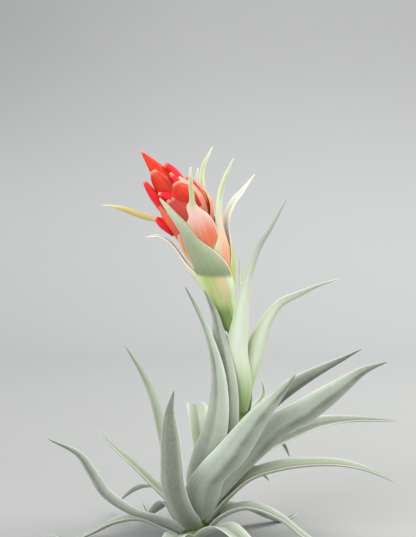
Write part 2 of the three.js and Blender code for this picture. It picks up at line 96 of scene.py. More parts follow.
def unit(vectors):
    """Vectors brought to length one."""
    return vectors / np.linalg.norm(vectors, axis=-1, keepdims=True)


def stem_at(height):
    """The stem's middle at a height in mm, and its direction there."""
    t = np.linspace(0, 1, STEM_SAMPLES)
    t = np.interp(height, ease(STEM_LINE_MM, t)[:, 2], t)
    nudge = 1e-3
    place = ease(STEM_LINE_MM, np.array([t, t + nudge, t - nudge]))
    return place[0], unit(place[1] - place[2])


def stem_radius(height):
    """The stem's radius at a height, in mm."""
    return float(ease(STEM_RADII_MM, np.array([height / STEM_TOP_MM]))[0])


def outward(along, degrees):
    """Direction that points away from the stem at an angle round it: 0 is +X, 90 is +Y."""
    right = unit(np.array([1.0, 0, 0]) - along * along[0])
    turn = math.radians(degrees)
    return right * math.cos(turn) + np.cross(along, right) * math.sin(turn)


def ring_mesh(name, rings, layers, material, node):
    """A closed body through rings of points in mm, which stands for a node of the frame."""
    count, around = rings.shape[:2]
    faces = []
    for i in range(count - 1):
        for k in range(around):
            a, b = i * around + k, i * around + (k + 1) % around
            faces.append((a, a + around, b + around, b))
    last = (count - 1) * around
    faces.append(tuple(range(around)))
    faces.append(tuple(last + k for k in reversed(range(around))))
    mesh = bpy.data.meshes.new(name)
    mesh.from_pydata((rings.reshape(-1, 3) * MM).tolist(), [], faces)
    for title, values in layers.items():
        layer = mesh.attributes.new(title, "FLOAT_VECTOR", "POINT")
        values = np.broadcast_to(values, rings.shape)
        layer.data.foreach_set("vector", np.ascontiguousarray(values, float).reshape(-1))
    mesh.shade_smooth()
    mesh.materials.append(material)
    piece = bpy.data.objects.new(name, mesh)
    bpy.context.scene.collection.objects.link(piece)
    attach(piece, "root")
    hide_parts(node)
    return piece


def new_material(name):
    """A new material, its node tree and its shader."""
    material = bpy.data.materials.new(name)
    material.use_nodes = True
    return material, material.node_tree, material.node_tree.nodes["Principled BSDF"]


def add(tree, kind, inputs=(), **settings):
    """A node with its settings, its inputs given as values or as other nodes' sockets."""
    node = tree.nodes.new("ShaderNode" + kind)
    for key, value in settings.items():
        setattr(node, key, value)
    for key, value in dict(inputs).items():
        if isinstance(value, bpy.types.NodeSocket):
            tree.links.new(value, node.inputs[key])
        else:
            node.inputs[key].default_value = value
    return node


def maths(tree, operation, a, b=0.0, clamp=False):
    """One sum worked out over the surface."""
    return add(tree, "Math", {0: a, 1: b}, operation=operation, use_clamp=clamp).outputs[0]


def span(tree, value, start, end, low=0.0, high=1.0):
    """A value smoothly mapped from the range start to end onto low to high."""
    inputs = {"Value": value, "From Min": start, "From Max": end, "To Min": low, "To Max": high}
    return add(tree, "MapRange", inputs, interpolation_type="SMOOTHSTEP").outputs[0]


def blend(tree, share, first, second):
    """The first colour, with a share of the second from 0 to 1 over it."""
    inputs = {0: share, 6: first, 7: second}
    return add(tree, "Mix", inputs, data_type="RGBA", clamp_factor=True).outputs[2]


# All the organs share one surface: fine lines from seat to tip, the grain of the tiny scales that cover the
# plant, soft blotches, and the height of lines and grain. It passes on what the mesh knows of its organ.
GRAIN_SCALE = 2600.0
LINE_WAVER = 1.4
ORGAN_SHIFT = 37.0
surface = bpy.data.node_groups.new("organ_surface", "ShaderNodeTree")
for title in ("Line Density", "Blotch Scale"):
    surface.interface.new_socket(title, in_out="INPUT", socket_type="NodeSocketFloat")
for title in ("Across", "Along", "Face", "Tone", "Warmth", "Lines", "Grain", "Blotch", "Height"):
    surface.interface.new_socket(title, in_out="OUTPUT", socket_type="NodeSocketFloat")
given = surface.nodes.new("NodeGroupInput").outputs
# place says where on its organ a point lies: across it, along it, and on which face. trait says which organ
# it is, how dark and how warm its colour; on a leaf, how dark is the strength of its painted shade.
place = add(surface, "Attribute", attribute_name="place")
trait = add(surface, "Attribute", attribute_name="trait")
place = add(surface, "SeparateXYZ", {0: place.outputs["Vector"]}).outputs
trait = add(surface, "SeparateXYZ", {0: trait.outputs["Vector"]}).outputs
where = add(surface, "TexCoord").outputs["Object"]
line_place = add(surface, "CombineXYZ", {
    0: maths(surface, "MULTIPLY", place[0], given["Line Density"]),
    1: maths(surface, "MULTIPLY", place[1], LINE_WAVER),
    2: maths(surface, "ADD", maths(surface, "MULTIPLY", trait[0], ORGAN_SHIFT), place[2]),
}).outputs[0]
lines = {"Vector": line_place, "Scale": 1.0, "Detail": 4.0, "Roughness": 0.65}
grain = {"Vector": where, "Scale": GRAIN_SCALE, "Detail": 2.0, "Roughness": 0.6}
blotch = {"Vector": where, "Scale": given["Blotch Scale"], "Detail": 3.0}
lines = span(surface, add(surface, "TexNoise", lines).outputs[0], 0.3, 0.7)
grain = span(surface, add(surface, "TexNoise", grain).outputs[0], 0.32, 0.68)
blotch = span(surface, add(surface, "TexNoise", blotch).outputs[0], 0.3, 0.7)
height = maths(surface, "ADD", maths(surface, "MULTIPLY", lines, 0.6), maths(surface, "MULTIPLY", grain, 0.4))
sent = surface.nodes.new("NodeGroupOutput")
for title, socket in {
    "Across": place[0], "Along": place[1], "Face": place[2], "Tone": trait[1], "Warmth": trait[2],
    "Lines": lines, "Grain": grain, "Blotch": blotch, "Height": height,
}.items():
    surface.links.new(socket, sent.inputs[title])


def organ_surface(tree, line_density, blotch_scale=110.0):
    """The shared surface in a material, as its named outputs."""
    node = tree.nodes.new("ShaderNodeGroup")
    node.node_tree = surface
    node.inputs["Line Density"].default_value = line_density
    node.inputs["Blotch Scale"].default_value = blotch_scale
    return node.outputs


def relief(tree, shader, height, depth):
    """Lines and grain stand up from the skin by a depth in metres."""
    bump = add(tree, "Bump", {"Height": height, "Strength": 0.6, "Distance": depth})
    tree.links.new(bump.outputs[0], shader.inputs["Normal"])


def living(shader, weight, depth):
    """Light that enters living tissue comes out a little way off, redder and greener than it went in."""
    shader.inputs["Subsurface Weight"].default_value = weight
    shader.inputs["Subsurface Radius"].default_value = (1.0, 0.7, 0.35)
    shader.inputs["Subsurface Scale"].default_value = depth


stem_green, tree, shader = new_material("stem_green")
organ = organ_surface(tree, line_density=5.0)
colour = blend(tree, organ["Blotch"], STEM_DARK, STEM_LIGHT)
colour = blend(tree, maths(tree, "MULTIPLY", organ["Lines"], 0.4), colour, STEM_STREAK)
tree.links.new(colour, shader.inputs["Base Color"])
shader.inputs["Roughness"].default_value = 0.45
living(shader, weight=0.25, depth=0.0015)
relief(tree, shader, organ["Height"], depth=0.0001)

turns = -360 * np.arange(STEM_SIDES) / STEM_SIDES
stem_rings, stem_place = [], []
for number, height in enumerate(np.linspace(0, STEM_TOP_MM, STEM_RINGS + 1)):
    middle, along = stem_at(height)
    radius = stem_radius(height) * (1 + SCAR_RISE * math.cos(height * SCAR_RATE))
    ring = np.array([middle + outward(along, turn) * radius for turn in turns])
    if number == 0:
        ring[:, 2] = 0
    stem_rings.append(ring)
    stem_place.append([(turn / ROD_DEGREES, height / STEM_TOP_MM, 1) for turn in turns])
stem_layers = {"place": np.array(stem_place), "trait": (0, 0, 0)}
ring_mesh("stem_rod", np.array(stem_rings), stem_layers, stem_green, "stem")


# The leaves are thick channelled blades with a folded keel, and each sits on the stem by a broad base. Their
# skin is green beneath a felt of silver scales, thin in the channel and at the tip, which look olive, and
# white along the thin margins. Shade is painted into the channel and onto the underside, and a highlight
# along the margins.
LEAF = {
    # how sharply it folds at its keel, and then, from seat to tip, shares of its width, its thickness in mm,
    # and the degrees that it curves from keel to margin
    "keel": 0.3,
    "wide": [1.1, 1.15, 1.07, 1, 0.95, 0.87, 0.76, 0.62, 0.44, 0.24, 0.03],
    "thick": [1.1, 1.3, 1.5, 1.5, 1.4, 1.3, 1.2, 1.1, 1, 0.8, 0.4],
    "cup": [66, 58, 50, 46, 46, 46, 46, 46, 46, 46, 46],
}
BLUNT_LEAF = {**LEAF, "wide": [1.1, 1.15, 1.07, 1, 0.98, 0.95, 0.9, 0.8, 0.64, 0.33, 0.03]}
SLENDER_LEAF = {**LEAF, "wide": [1.1, 1.15, 1.07, 1, 0.9, 0.74, 0.55, 0.38, 0.25, 0.14, 0.03]}
ORGAN_GAP_MM = 0.3
LEAF_SEAT_MM = ORGAN_GAP_MM + LEAF["thick"][0] / 2
# a leaf's climb is how high on the stem it sits, around is the side it grows from in degrees, through the
# places of its midrib beyond the stem, and roll how many degrees it turns over on its way
LEAVES = [
    {"name": "leaf_left_outer", "climb": [6], "around": 210, "width": 11, "roll": [0, 20, 35],
     "through": [(-13.5, -7, 13), (-27, -12, 18.5), (-38, -15, 27), (-44, -17, 37.5), (-50, -18, 46.5),
                 (-62.5, -19, 53.5)], "tone": 0.5},
    {"name": "leaf_left_front", "climb": [8], "around": 245, "width": 13.5, "form": BLUNT_LEAF,
     "through": [(-5, -20, 21), (-8, -29, 33), (-8.5, -33, 44), (-8.9, -34, 56.5), (-8.6, -33, 68),
                 (-6.5, -31, 77)], "tone": 1.15},
    {"name": "leaf_back_low", "climb": [9], "around": 70, "width": 12,
     "through": [(9, 17, 17), (16, 30, 24), (24, 43, 26), (32, 55, 22), (39, 65, 14)]},
    {"name": "leaf_left_slim", "climb": [11.5], "around": 195, "width": 9, "roll": [0, -20, -20],
     "through": [(-9, -4, 20.5), (-18, -7, 30.5), (-25.5, -9, 39), (-33.5, -11, 47), (-41.5, -12, 55.5)],
     "tone": 0.25, "warm": 0.6},
    {"name": "leaf_right_arching", "climb": [12], "around": 10, "width": 13, "roll": [0, 5, 12, 10],
     "through": [(16.5, 3, 20), (27.5, 5, 29.5), (41.5, 8, 33.5), (55.5, 10, 35), (69.5, 12, 34.5),
                 (82.5, 13, 31.5), (98.5, 14, 24.5)], "tone": 1.25, "warm": 0.4, "shade_side": -1},
    {"name": "leaf_right_front", "climb": [14], "around": 290, "width": 18, "roll": [0, -10, -20, -15],
     "through": [(7, -17, 29), (11.5, -23, 38), (18.5, -26, 47), (30.5, -28, 65), (42, -26, 78),
                 (46, -25, 83)], "tone": 0.25},
    {"name": "leaf_back_left", "climb": [14.5], "around": 130, "width": 12,
     "through": [(-6, 15, 18), (-14, 26, 20), (-22, 37, 18), (-29, 47, 13), (-36, 56, 6)]},
    {"name": "leaf_left_tall", "climb": [17], "around": 165, "width": 10.8, "roll": [0, 40, 60, 60],
     "through": [(-5.5, 4, 21.5), (-10.5, 7, 31), (-13.5, 7, 47.5), (-17, 5, 65), (-22, 3, 78.5),
                 (-29.3, 0, 92)], "tone": 0.0, "warm": 0.3},
    {"name": "leaf_back_drooping", "climb": [19], "around": 75, "width": 11,
     "through": [(14, 15, 32), (24, 30, 41), (37, 42, 42), (45, 50, 36), (48.5, 54, 29)], "tone": 0.0},
    {"name": "leaf_tall_front", "climb": [20], "around": 245, "width": 14.5, "form": SLENDER_LEAF,
     "through": [(3.5, -14, 33), (6.5, -18, 46), (10, -19, 56.5), (12, -18, 68.5), (12, -15.5, 81.5),
                 (9.5, -12, 94), (5, -9, 106), (-2, -7, 119.5)], "tone": 0.3, "shade_side": -1, "late": 1.7},
    {"name": "leaf_right_broad", "climb": [22], "around": 330, "width": 19, "roll": [0, -30, -55, -55],
     "through": [(22, -8, 34.5), (29, -11.5, 44), (39, -15, 56), (51, -17, 64), (63.5, -18, 73.5),
                 (76, -18, 83), (86.5, -18, 87.5)], "tone": 0.35},
    {"name": "leaf_left_curling", "climb": [24], "around": 125, "width": 14,
     "through": [(5.5, 14, 38.5), (4, 17, 47.5), (3, 21, 54), (2.5, 28, 57.5), (2, 38, 57.5), (1, 48, 55.5),
                 (0, 56, 51)], "tone": 0.55, "warm": 0.3},
    {"name": "leaf_right_level", "climb": [27], "around": 35, "width": 12, "roll": [0, 20, 20, 10],
     "through": [(22, 8, 36), (34.5, 13, 42.5), (46.5, 18, 47), (58.5, 22, 51), (73, 26, 52.5),
                 (87.5, 29, 52), (100.5, 31, 51)], "tone": 1.5, "shade_side": -1},
    {"name": "leaf_back_broad", "climb": [30], "around": 88, "width": 12,
     "through": [(16, 15, 44), (19, 26, 52), (23, 38, 55), (27, 50, 52), (31, 59, 45)]},
    {"name": "leaf_right_upper", "climb": [33], "around": 355, "width": 14, "roll": [0, -35, -50, -40],
     "through": [(26, 0, 49), (33, -4.5, 60.5), (39.5, -8.5, 68.5), (47.5, -11, 75.5), (58, -11, 82),
                 (67.5, -10, 87), (76.5, -9, 92)], "tone": 1.0},
    {"name": "leaf_back_rising", "climb": [36.5], "around": 75, "width": 9,
     "through": [(22.5, 14, 47), (29, 23, 56), (34.5, 30, 64), (34, 34, 70.5)], "tone": 0.0},
    {"name": "leaf_tall_inner", "climb": [40], "around": 280, "width": 11,
     "through": [(17, -11.5, 54), (17.5, -12.5, 65), (17.2, -11, 76), (15.8, -9, 87), (13.3, -7.5, 98),
                 (11, -8.5, 108), (6.5, -11, 118.5)], "tone": 0.25, "shade_side": -1},
]
FACE_POINTS = 17
RIM_MM, RIM_SHARPNESS = 0.34, 14
NARROWEST = 0.02
RIPPLE_RATE, RIPPLE_SHIFT = 19, 5
SAMPLES_A_PLACE = 40


def even_line(places, steps):
    """Points evenly spaced along a smooth line through places, and the line's direction at each."""
    t = np.linspace(0, 1, SAMPLES_A_PLACE * len(places))
    points = ease(places, t)
    length = np.concatenate([[0], np.cumsum(np.linalg.norm(np.diff(points, axis=0), axis=1))])
    t = np.interp(np.linspace(0, length[-1], steps + 1), length, t)
    nudge = 1e-3
    direction = ease(places, t + nudge) - ease(places, t - nudge)
    return ease(places, t), unit(direction)


def path_of(organ):
    """Places along an organ's midrib: those on the stem, then the free ones."""
    places = []
    turns = np.broadcast_to(organ["around"], len(organ["climb"]))
    for number, (height, turn) in enumerate(zip(organ["climb"], turns)):
        middle, along = stem_at(height)
        reach = organ["reach"][number] if "reach" in organ else stem_radius(height) + LEAF_SEAT_MM
        places.append(middle + outward(along, turn) * reach)
    return np.array(places + list(organ.get("through", [])), float)


def blade_line(organ, steps):
    """Each step's share of a blade's length, the midrib there, and the ways to its side and its channel."""
    middle, along = even_line(path_of(organ), steps)
    v = np.linspace(0, 1, steps + 1)
    facing = math.radians(np.ravel(organ["around"])[0])
    sideways = np.array([-math.sin(facing), math.cos(facing), 0])
    side = unit(sideways - along * (along @ sideways)[:, None])
    roll = np.radians(ease(organ.get("roll", [0, 0]), v))[:, None]
    side = side * np.cos(roll) + np.cross(along, side) * np.sin(roll)
    return v, middle, side, np.cross(along, side)


def blade_section():
    """Places round a blade, from -1 at one margin to 1 at the other, and the face of each: 1 in the channel,
    -1 underneath and 0 at the margins."""
    across = np.sin(np.linspace(-math.pi / 2, math.pi / 2, FACE_POINTS))
    face = np.concatenate([np.ones(FACE_POINTS), -np.ones(FACE_POINTS - 2)])
    face[[0, FACE_POINTS - 1]] = 0
    return np.concatenate([across, across[-2:0:-1]]), face


def blade(organ, form, material, seed, steps=64, ripple=0.12):
    """A channelled blade along its midrib, thick in the middle, with thin rounded margins."""
    v, middle, side, inner = blade_line(organ, steps)
    u, face = blade_section()
    cup = np.radians(ease(form["cup"], v))[:, None]
    radius = organ["width"] / 2 * np.maximum(ease(form["wide"], v), NARROWEST)[:, None] / cup
    thick = ease(form["thick"], v)[:, None]
    rim = np.minimum(RIM_MM, thick)
    body = (rim + (thick - rim) * (1 - u**2)) / 2 * np.sqrt(1 - np.abs(u) ** RIM_SHARPNESS)
    if "proud" in form:
        beyond = v[:, None] + form["scurf_lean"] * u - form["scurf_line"]
        free = np.clip(beyond / form["scurf_step"], 0, 1)
        body = body + form["proud"] * free * (face < 0) * (1 - u**2)
    wave = ripple * np.sin(v * RIPPLE_RATE + seed * RIPPLE_SHIFT) * np.sin(v * math.pi)
    fold = form["keel"] * radius * (1 - np.cos(cup)) * (np.abs(u) - u**2) + wave[:, None] * u**3
    reach = radius - body * face
    angle = cup * u
    rings = (middle[:, None] + side[:, None] * (reach * np.sin(angle))[..., None]
             + inner[:, None] * (radius - reach * np.cos(angle) + fold)[..., None])
    # where the skin is painted: a leaf's painted shade may lie on its other side, and a colour may start late
    painted = u * organ.get("shade_side", 1), v[:, None] ** organ.get("late", 1), face
    layers = {
        "place": np.stack(np.broadcast_arrays(*painted), axis=-1),
        "trait": (seed, organ.get("tone", 0.3), organ.get("warm", 0)),
    }
    for title in ("body", "tail"):
        if title in organ:
            layers[title] = organ[title]
    return ring_mesh(organ["name"] + "_blade", rings, layers, material, organ["name"])


SILVER, OLIVE, FRESH_GREEN = (0.415, 0.485, 0.385, 1), (0.13, 0.15, 0.10, 1), (0.46, 0.54, 0.20, 1)
SCALE_WHITE_AND_RIM_SHINE = (0.86, 0.90, 0.82, 1)
leaf_skin, tree, shader = new_material("leaf_skin")
organ = organ_surface(tree, line_density=22.0)
# painted shade in the channel, a little to one side of the keel, where the scales also lie thinner and the
# green shows through
thin = span(tree, organ["Across"], 0.1, 0.6, 0.85, 0.1)
thin = maths(tree, "MULTIPLY", thin, span(tree, organ["Across"], -0.22, 0.08))
thin = maths(tree, "MULTIPLY", thin, span(tree, organ["Along"], 0.05, 0.4, 0.35, 0.75))
dark = maths(tree, "MULTIPLY", thin, span(tree, organ["Blotch"], 0.0, 1.0, 0.75, 1.0))
# painted shade, deepest on the underside, as strong as the leaf's tone
underside_shade = span(tree, organ["Face"], 0.5, -0.5, 0.45, 0.7)
dark = maths(tree, "ADD", dark, maths(tree, "MULTIPLY", organ["Tone"], underside_shade))
dark = maths(tree, "ADD", dark, span(tree, organ["Lines"], 0.0, 1.0, -0.09, 0.09))
dark = maths(tree, "ADD", dark, span(tree, organ["Blotch"], 0.0, 1.0, -0.05, 0.06))
dark = maths(tree, "ADD", dark, span(tree, organ["Along"], 0.78, 1.0, 0.0, 0.45), clamp=True)
colour = blend(tree, dark, SILVER, OLIVE)
warm = maths(tree, "MULTIPLY", organ["Warmth"], span(tree, organ["Blotch"], 0.1, 0.9, 0.25, 0.6))
colour = blend(tree, warm, colour, FRESH_GREEN)
# towards the margins they lie thickest, in a broad pale border and then a narrow white one, both lit further
# by a painted highlight along the rims
margin_distance = maths(tree, "ABSOLUTE", organ["Across"])
colour = blend(tree, span(tree, margin_distance, 0.5, 0.95, 0.0, 0.3), colour, SCALE_WHITE_AND_RIM_SHINE)
colour = blend(tree, span(tree, margin_distance, 0.9, 0.98, 0.0, 0.6), colour, SCALE_WHITE_AND_RIM_SHINE)
colour = blend(tree, maths(tree, "MULTIPLY", organ["Grain"], 0.16), colour, SCALE_WHITE_AND_RIM_SHINE)
tree.links.new(colour, shader.inputs["Base Color"])
shader.inputs["Roughness"].default_value = 0.72
shader.inputs["Sheen Weight"].default_value = 0.25
shader.inputs["Sheen Roughness"].default_value = 0.5
living(shader, weight=0.12, depth=0.0012)
relief(tree, shader, organ["Height"], depth=0.00012)

for number, leaf in enumerate(LEAVES):
    blade(leaf, leaf.get("form", LEAF), leaf_skin, seed=0.37 * number + 1)


# The lowest leaves are older and flatter. They arch out and down to the table, and the plant stands on them
# and on its foot, so each is flat where it lies on the table.
LOW_LEAF = {
    **LEAF,
    "keel": 0.5,
    "wide": [0.75, 0.9, 1, 1, 0.95, 0.87, 0.76, 0.62, 0.44, 0.24, 0.03],
    "cup": [40, 42, 44, 44, 42, 40, 38, 36, 36, 36, 36],
}
LOW_LEAVES = [
    ("leaf_low_right", 5.5, 352, 12, [14, 26, 40, 53, 66, 78], [13, 18, 14, 5, -0.3, 3.5]),
    ("leaf_low_back_right", 3.5, 42, 11, [14, 25, 37, 49, 60, 70], [9, 13, 10, 4, 0, 2.5]),
    ("leaf_low_back_left", 4.5, 112, 11, [14, 24, 35, 47, 58, 67], [9, 13, 10, 4, -0.3, 3.5]),
    ("leaf_low_left", 3.5, 172, 11, [14, 24, 35, 46, 56, 66], [8, 11, 9, 3.5, 0, 2.5]),
    ("leaf_low_front_left", 3.5, 255, 11, [14, 24, 34, 45, 55, 64], [7, 10, 8, 3.5, 0, 3]),
    ("leaf_low_front_right", 4.5, 308, 12, [14, 25, 37, 49, 61, 72], [9, 13, 10, 4, 0, 3]),
]
for number, (name, climb, around, width, out, high) in enumerate(LOW_LEAVES):
    turn = math.radians(around)
    low_leaf = {
        "name": name, "climb": [climb], "around": around, "width": width, "tone": 0.55, "warm": 0.1,
        "through": [(r * math.cos(turn), r * math.sin(turn), z) for r, z in zip(out, high)],
    }
    piece = blade(low_leaf, LOW_LEAF, leaf_skin, seed=0.53 * number + 9)
    for vertex in piece.data.vertices:
        vertex.co.z = max(vertex.co.z, 0)


# The bracts on the stalk are thinner leaves. Each clasps the stalk with a smooth pale green base and lifts
# away as a tapering silver tail.
STALK_BRACT = {
    "keel": 0.2,
    "wide": [0.8, 0.95, 1.02, 0.98, 0.67, 0.46, 0.37, 0.28, 0.17, 0.03],
    "thick": [0.9, 1, 1, 1, 0.95, 0.9, 0.85, 0.8, 0.6, 0.4],
    "cup": [56, 58, 60, 56, 50, 46, 42, 40, 40, 40],
}
# reach is how far from the middle of the stem a bract's midrib runs at each height
STALK_BRACTS = [
    {"name": "stalk_bract_front", "climb": [62, 70, 79], "reach": [3.9, 5.2, 6.2], "around": [275, 270, 261],
     "width": 11, "tone": 0.6, "warm": 0.15,
     "through": [(21.5, -6.5, 91), (22.5, -7, 102.5), (24, -8, 114), (26.5, -9, 126), (30.5, -10, 137.5),
                 (35.5, -11, 146), (43, -12, 159.5)]},
    {"name": "stalk_bract_right", "climb": [68, 76], "reach": [3.7, 4.4], "around": [355, 358], "width": 13,
     "roll": [0, -50, -50, -20], "tone": 0.3, "warm": 0.5,
     "through": [(31, 1, 86), (32.6, 1, 94.5), (35.4, 1.5, 102.8), (41, 3, 110.5), (50, 4, 115), (59, 5, 119),
                 (68, 6, 122)]},
    {"name": "stalk_bract_behind", "climb": [54, 62], "reach": [4.3, 5.6], "around": [40, 38], "width": 9,
     "through": [(27.5, 4.5, 73.5), (28.5, 7, 84), (30, 9, 92), (32.5, 11, 98.5)], "tone": 0.1, "warm": 0.6},
    {"name": "stalk_bract_back", "climb": [76, 84, 92], "reach": [4, 5, 6], "around": [125, 120, 95],
     "width": 9, "through": [(24.5, 9, 112), (23, 9.5, 121), (22.7, 9, 132)], "tone": 0.0, "warm": 0.0},
    {"name": "stalk_bract_left", "climb": [84, 90, 96, 101, 106], "reach": [3.8, 4.2, 4.8, 5.6, 6.6],
     "around": 215, "width": 8, "tone": 0.2, "warm": 0.5},
]
PALE, LIME, YELLOW_GREEN = (0.67, 0.745, 0.60, 1), (0.30, 0.47, 0.06, 1), (0.42, 0.52, 0.13, 1)
SHADE, TAIL_GREY = (0.33, 0.42, 0.20, 1), (0.36, 0.40, 0.33, 1)
PALE_STREAK, PALE_MARGIN = (0.80, 0.87, 0.72, 1), (0.86, 0.90, 0.80, 1)
bract_skin, tree, shader = new_material("stalk_bract_skin")
organ = organ_surface(tree, line_density=14.0)
colour = blend(tree, span(tree, organ["Across"], -0.1, -0.95, 0.0, 0.75), PALE, SHADE)
colour = blend(tree, span(tree, organ["Along"], 0.02, 0.3, 0.9, 0.0), colour, LIME)
yellow = maths(tree, "MULTIPLY", organ["Warmth"], span(tree, organ["Across"], -0.2, 0.9, 0.1, 0.8))
colour = blend(tree, yellow, colour, YELLOW_GREEN)
tail = maths(tree, "MULTIPLY", organ["Tone"], span(tree, organ["Along"], 0.45, 0.85, 0.0, 1.8), clamp=True)
colour = blend(tree, tail, colour, TAIL_GREY)
colour = blend(tree, maths(tree, "MULTIPLY", organ["Lines"], 0.25), colour, PALE_STREAK)
margin = span(tree, maths(tree, "ABSOLUTE", organ["Across"]), 0.84, 0.98, 0.0, 0.85)
colour = blend(tree, margin, colour, PALE_MARGIN)
colour = blend(tree, maths(tree, "MULTIPLY", organ["Grain"], 0.12), colour, SCALE_WHITE_AND_RIM_SHINE)
tree.links.new(colour, shader.inputs["Base Color"])
shader.inputs["Roughness"].default_value = 0.6
shader.inputs["Sheen Weight"].default_value = 0.2
living(shader, weight=0.3, depth=0.0015)
relief(tree, shader, organ["Height"], depth=0.0001)

for number, bract in enumerate(STALK_BRACTS):
    blade(bract, STALK_BRACT, bract_skin, seed=0.41 * number + 3, ripple=0.08)


# The bracts of the head have a swollen satin base, pink, peach and orange, that wraps the flowers, and a
# narrow scurfy green tail. The front one is a big sheath: glossy yellow-green below, and above a slanting
# line, where its free blade stands a little proud, scurfy grey-green.
HEAD_SHEATH = {
    # its free blade starts at the scurf line, which leans down to the right, and steps out over a short way
    "keel": 0, "proud": 0.22, "scurf_line": 0.375, "scurf_lean": 0.06, "scurf_step": 0.014,
    "wide": [0.42, 0.6, 0.76, 0.88, 0.88, 0.7, 0.47, 0.32, 0.24, 0.17, 0.03],
    "thick": [0.9, 1, 1, 1, 1, 1, 0.9, 0.9, 0.8, 0.7, 0.4],
    "cup": [66, 66, 60, 56, 52, 50, 46, 44, 42, 40, 40],
}
HEAD_BRACT = {
    "keel": 0.1,
    "wide": [0.5, 0.78, 0.98, 1.04, 0.92, 0.62, 0.34, 0.24, 0.19, 0.14, 0.03],
    "thick": [0.9, 1, 1, 1, 1, 0.9, 0.8, 0.8, 0.75, 0.7, 0.4],
    "cup": [54, 48, 44, 42, 40, 40, 38, 36, 36, 36, 36],
}
BULB_BODY = {**HEAD_BRACT, "wide": [0.5, 0.78, 0.98, 1.06, 1.08, 1, 0.74, 0.2, 0.13, 0.11, 0.03]}
BROAD_TAIL = {**HEAD_BRACT, "wide": [0.5, 0.8, 1, 0.95, 0.7, 0.45, 0.36, 0.33, 0.27, 0.17, 0.03]}
SHORT_BODY = {**HEAD_BRACT, "wide": [0.5, 0.8, 1, 1.02, 0.78, 0.42, 0.28, 0.25, 0.23, 0.17, 0.03]}
HEAD_BRACTS = [
    {"name": "head_bract_front", "width": 20, "climb": [100, 106, 112, 119, 127, 134, 141, 150.5, 164],
     "reach": [3.6, 4.4, 6.2, 8.6, 10.6, 11.8, 12.4, 12.8, 12],
     "around": [272, 270, 270, 273, 271, 266, 257, 253, 240]},
    {"name": "head_bract_right", "width": 12, "form": BROAD_TAIL, "roll": [0, 0, 30, 80, 90],
     "climb": [102, 111, 120, 128, 136, 143, 148, 150, 153],
     "reach": [3.8, 5.4, 8.6, 11.4, 12.7, 14.4, 20.2, 26, 34.5],
     "around": [345, 352, 2, 6, 6, 4, 6, 8, 8],
     "body": (0.52, 0.62, 0.12), "tail": (0.84, 0.88, 0.78), "tone": 0.0, "warm": 0.0, "late": 0.8},
    {"name": "head_bract_right_front", "width": 13, "form": SHORT_BODY,
     "climb": [114, 121, 128, 134, 140, 148, 155, 160.8],
     "reach": [3.8, 6.2, 8.6, 10, 11.2, 14.6, 19.8, 30.6],
     "around": [305, 311, 318, 325, 331, 338, 345, 351],
     "body": (0.87, 0.62, 0.42), "tail": (0.74, 0.79, 0.52), "tone": 0.9, "warm": 0.6},
    {"name": "head_bract_middle", "width": 18, "form": BULB_BODY,
     "climb": [123, 130, 137, 145, 152, 157.8, 162.4, 166.2],
     "reach": [3.6, 5.8, 8.2, 10.2, 11.6, 12.9, 14.9, 17.7],
     "around": [272, 270, 268, 274, 283, 298, 309, 318],
     "body": (0.80, 0.25, 0.14), "tail": (0.50, 0.60, 0.33), "tone": 0.15, "warm": 0.8, "late": 1.25},
    {"name": "head_bract_behind_right", "width": 11.5, "roll": [0, 0, 30, 60, 60],
     "climb": [126, 132, 139, 147, 152.8, 157.6, 162.4, 165.8],
     "reach": [3.5, 5.6, 8.2, 9.4, 10.4, 12.8, 17.4, 26.3],
     "around": [40, 40, 40, 40, 38, 32, 26, 19],
     "body": (0.85, 0.50, 0.42), "tail": (0.70, 0.78, 0.46), "tone": 0.2, "warm": 0.5},
    {"name": "head_bract_left", "width": 12, "form": BROAD_TAIL, "roll": [0, 0, 30, 60, 60],
     "climb": [124, 130, 137, 143, 148, 155, 160.6, 169.8, 175],
     "reach": [3.4, 5.6, 7.8, 9.2, 10.6, 14.2, 18.4, 24.2, 28.7],
     "around": [165, 165, 166, 168, 170, 174, 178, 182, 184],
     "body": (0.86, 0.60, 0.42), "tail": (0.76, 0.60, 0.20), "tone": 0.1, "warm": 0.3},
    {"name": "head_bract_left_behind", "width": 13, "roll": [0, 0, 0, -20, -40],
     "climb": [112, 118, 125, 132, 139, 144.5, 147.8, 149.5],
     "reach": [3.8, 5.6, 8.4, 11, 12.8, 15.4, 19.5, 26.3],
     "around": [178, 175, 172, 167, 160, 155, 152, 150],
     "body": (0.78, 0.75, 0.54), "tail": (0.88, 0.90, 0.83), "tone": 0.2, "warm": 0.05},
    {"name": "head_bract_behind", "width": 12, "climb": [124, 131, 138, 146, 153, 159, 162.8],
     "reach": [3.4, 6.4, 9.6, 12, 14, 16.6, 20], "around": [75, 76, 78, 76, 70, 58, 48],
     "body": (0.85, 0.55, 0.45), "tail": (0.80, 0.84, 0.72), "tone": 0.3, "warm": 0.5},
    {"name": "head_bract_back", "width": 14, "climb": [109, 116, 124, 132, 140, 147, 154, 160],
     "reach": [3.8, 6.6, 9.8, 12.2, 14, 16.4, 20, 25], "around": [100, 100, 100, 101, 102, 102, 103, 104],
     "body": (0.80, 0.50, 0.36), "tail": (0.56, 0.64, 0.42), "tone": 0.4, "warm": 0.4},
]
CORAL, BLUSH, CREAM = (0.80, 0.19, 0.06, 1), (0.90, 0.66, 0.60, 1), (0.74, 0.76, 0.50, 1)
GREEN_FLUSH, KEEL_GREEN = (0.66, 0.74, 0.48, 1), (0.36, 0.47, 0.20, 1)
TIP_SCALES, ROSY_STREAK, HEAD_MARGIN = (0.84, 0.88, 0.80, 1), (0.95, 0.86, 0.80, 1), (0.92, 0.90, 0.84, 1)
head_skin, tree, shader = new_material("head_bract_skin")
organ = organ_surface(tree, line_density=12.0, blotch_scale=160.0)
body_tint = add(tree, "Attribute", attribute_name="body").outputs["Color"]
tail_tint = add(tree, "Attribute", attribute_name="tail").outputs["Color"]
